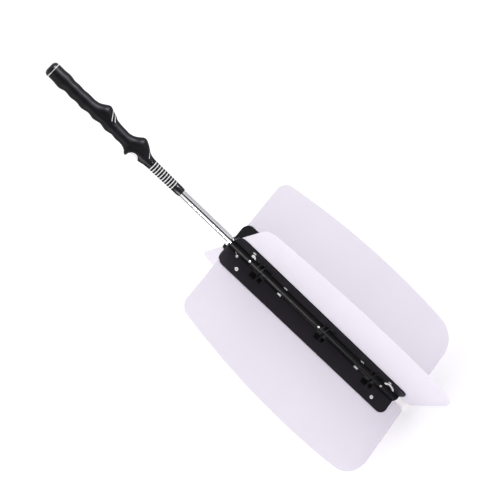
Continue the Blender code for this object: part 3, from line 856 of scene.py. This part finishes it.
def add_card(name, turn, away, width, tall, grey):
    """A studio card seen only in reflections: turn is measured from the camera's direction."""
    shade = Shade(name, (grey, grey * 0.99, grey * 1.01), 0.9, specular=0.1)
    card = plane(name, 1.0, shade.material)
    turn = math.radians(CAMERA_TURN + turn)
    card.scale = (width, tall, 1)
    card.location = (away * math.sin(turn), -away * math.cos(turn), tall / 2 + CARD_LIFT)
    card.rotation_euler = (math.pi / 2, 0, turn)
    card.visible_camera = False
    card.visible_diffuse = False
    card.visible_shadow = False


def add_light(name, place, target, size, power, colour=(1, 1, 1)):
    data = bpy.data.lights.new(name, "AREA")
    data.shape = "RECTANGLE"
    data.size = size[0]
    data.size_y = size[1]
    data.energy = power
    data.color = colour
    lamp = bpy.data.objects.new(name, data)
    bpy.context.scene.collection.objects.link(lamp)
    lamp.location = place
    lamp.rotation_euler = (Vector(target) - Vector(place)).to_track_quat("-Z", "Y").to_euler()
    return lamp


def gloss_light(*words, **named):
    """A strip box that only shows in glossy reflections."""
    add_light(*words, **named).visible_diffuse = False


def around(turn, distance, z):
    """A place round the object: turn as for the camera, distance from the shaft, height."""
    angle = math.radians(turn)
    return (distance * math.sin(angle), -distance * math.cos(angle), z)


def add_world(strength):
    world = bpy.data.worlds.new("studio")
    bpy.context.scene.world = world
    world.use_nodes = True
    world.node_tree.nodes["Background"].inputs["Color"].default_value = (1, 1, 1, 1)
    world.node_tree.nodes["Background"].inputs["Strength"].default_value = strength


def make_studio():
    make_camera()
    add_floor()
    for card in CARDS:
        add_card(*card)
    bpy.context.scene.view_settings.view_transform = "Standard"
    add_world(WORLD_STRENGTH)
    gloss_light("thumb_side_box", around(CAMERA_TURN + 56, 1.6, 1.0), target=(0, 0, 0.6),
                size=(0.6, 1.0), power=101, colour=VIOLET_WHITE)
    gloss_light("hinge_box", around(-82, 0.9, 0.18), target=(0, 0, 0.3), size=(0.14, 0.34), power=15)
    add_light("blade_side_box", around(-92, 2.5, 0.9), target=(0, 0, 0.3), size=(1.2, 1.2), power=8)


def main():
    make_studio()
    grip_rubber = moulded_rubber("grip_rubber", base=0.0045, roughness=0.42, specular=0.09)
    sleeve_rubber = moulded_rubber("sleeve_rubber", base=0.005, roughness=0.42, specular=0.10)
    plastic = moulded_plastic("black_plastic", base=0.008, roughness=0.30, specular=0.18, grain=3500)
    bracket_plastic = bracket_moulding(base=0.019, roughness=0.42, specular=0.08)
    # Backing strips: black plastic darker, rougher and less glossy than the bracket, as painted shade in
    # the leaves' pockets where the strips show.
    pocket_shade_plastic = moulded_plastic("pocket_shade_plastic", base=0.005, roughness=0.60, specular=0.05)
    steel = plated_steel("bright_steel", tone=0.90, metallic=0.55)
    # Spring clips and cross pin: steel made pale and barely metallic so that it shows bright even in
    # shade, a painted glint on real steel.
    steel_painted_glint = plated_steel("steel_painted_glint", tone=0.94, metallic=0.15)
    dull_steel = plated_steel("dull_steel", tone=0.42, metallic=0.55)
    # Near-black material for the rivets' bores: painted shade inside the holes.
    bore_shade = moulded_plastic("painted_bore_shade", base=0.03, roughness=0.5, specular=0.3)
    tube = chrome()
    sheet = milky_sheet()
    paint = white_paint("white_trim", (0.74, 0.74, 0.75), roughness=0.4)
    mark_paint = white_paint("mark_paint", (0.92, 0.92, 0.92), roughness=0.4)
    band = white_paint("band_trim", (0.55, 0.55, 0.56), roughness=0.35)
    pad = white_paint("pale_pad", (0.72, 0.68, 0.72), roughness=0.45)

    make_grip(grip_rubber, pad)
    for name, numbers in STRIPES_MM.items():
        make_stripe(name, *numbers, paint)
    make_cap(plastic, band)
    make_sleeve(sleeve_rubber, paint)
    make_collar(plastic)
    make_tube(tube)
    for letter in LEAF_WAY:
        for number in (1, 2):
            make_rivet(letter, number, steel, bore_shade)
    for letter in FIXED_LEAVES:
        make_hub_screw(letter, steel)
    make_radial_screw("set_screw_1", FIXED, dull_steel)
    make_radial_screw("set_screw_2", FIXED, dull_steel)
    make_radial_screw("brake_screw", SWING, dull_steel)
    make_marks(mark_paint, steel)

    finish_nodes(["fixed_bracket", "swing_bracket"], bracket_plastic, 0.3 * MM)
    # The backing strips' darker plastic is painted shade for the pockets.
    finish_nodes([f"backing_strip_{letter}" for letter in LEAF_WAY], pocket_shade_plastic, 0.3 * MM)
    finish_nodes([f"blade_{letter}" for letter in LEAF_WAY], sheet, 0.3 * MM, flat=True)
    # The clips' and pin's pale, matt steel is partly a painted glint.
    finish_nodes(["spring_clip_1", "spring_clip_2"], steel_painted_glint, 0.25 * MM)
    finish_nodes(["cross_pin"], steel_painted_glint, 0.2 * MM)
    finish_nodes(["shaft_end_plug"], plastic, 0.2 * MM)


main()
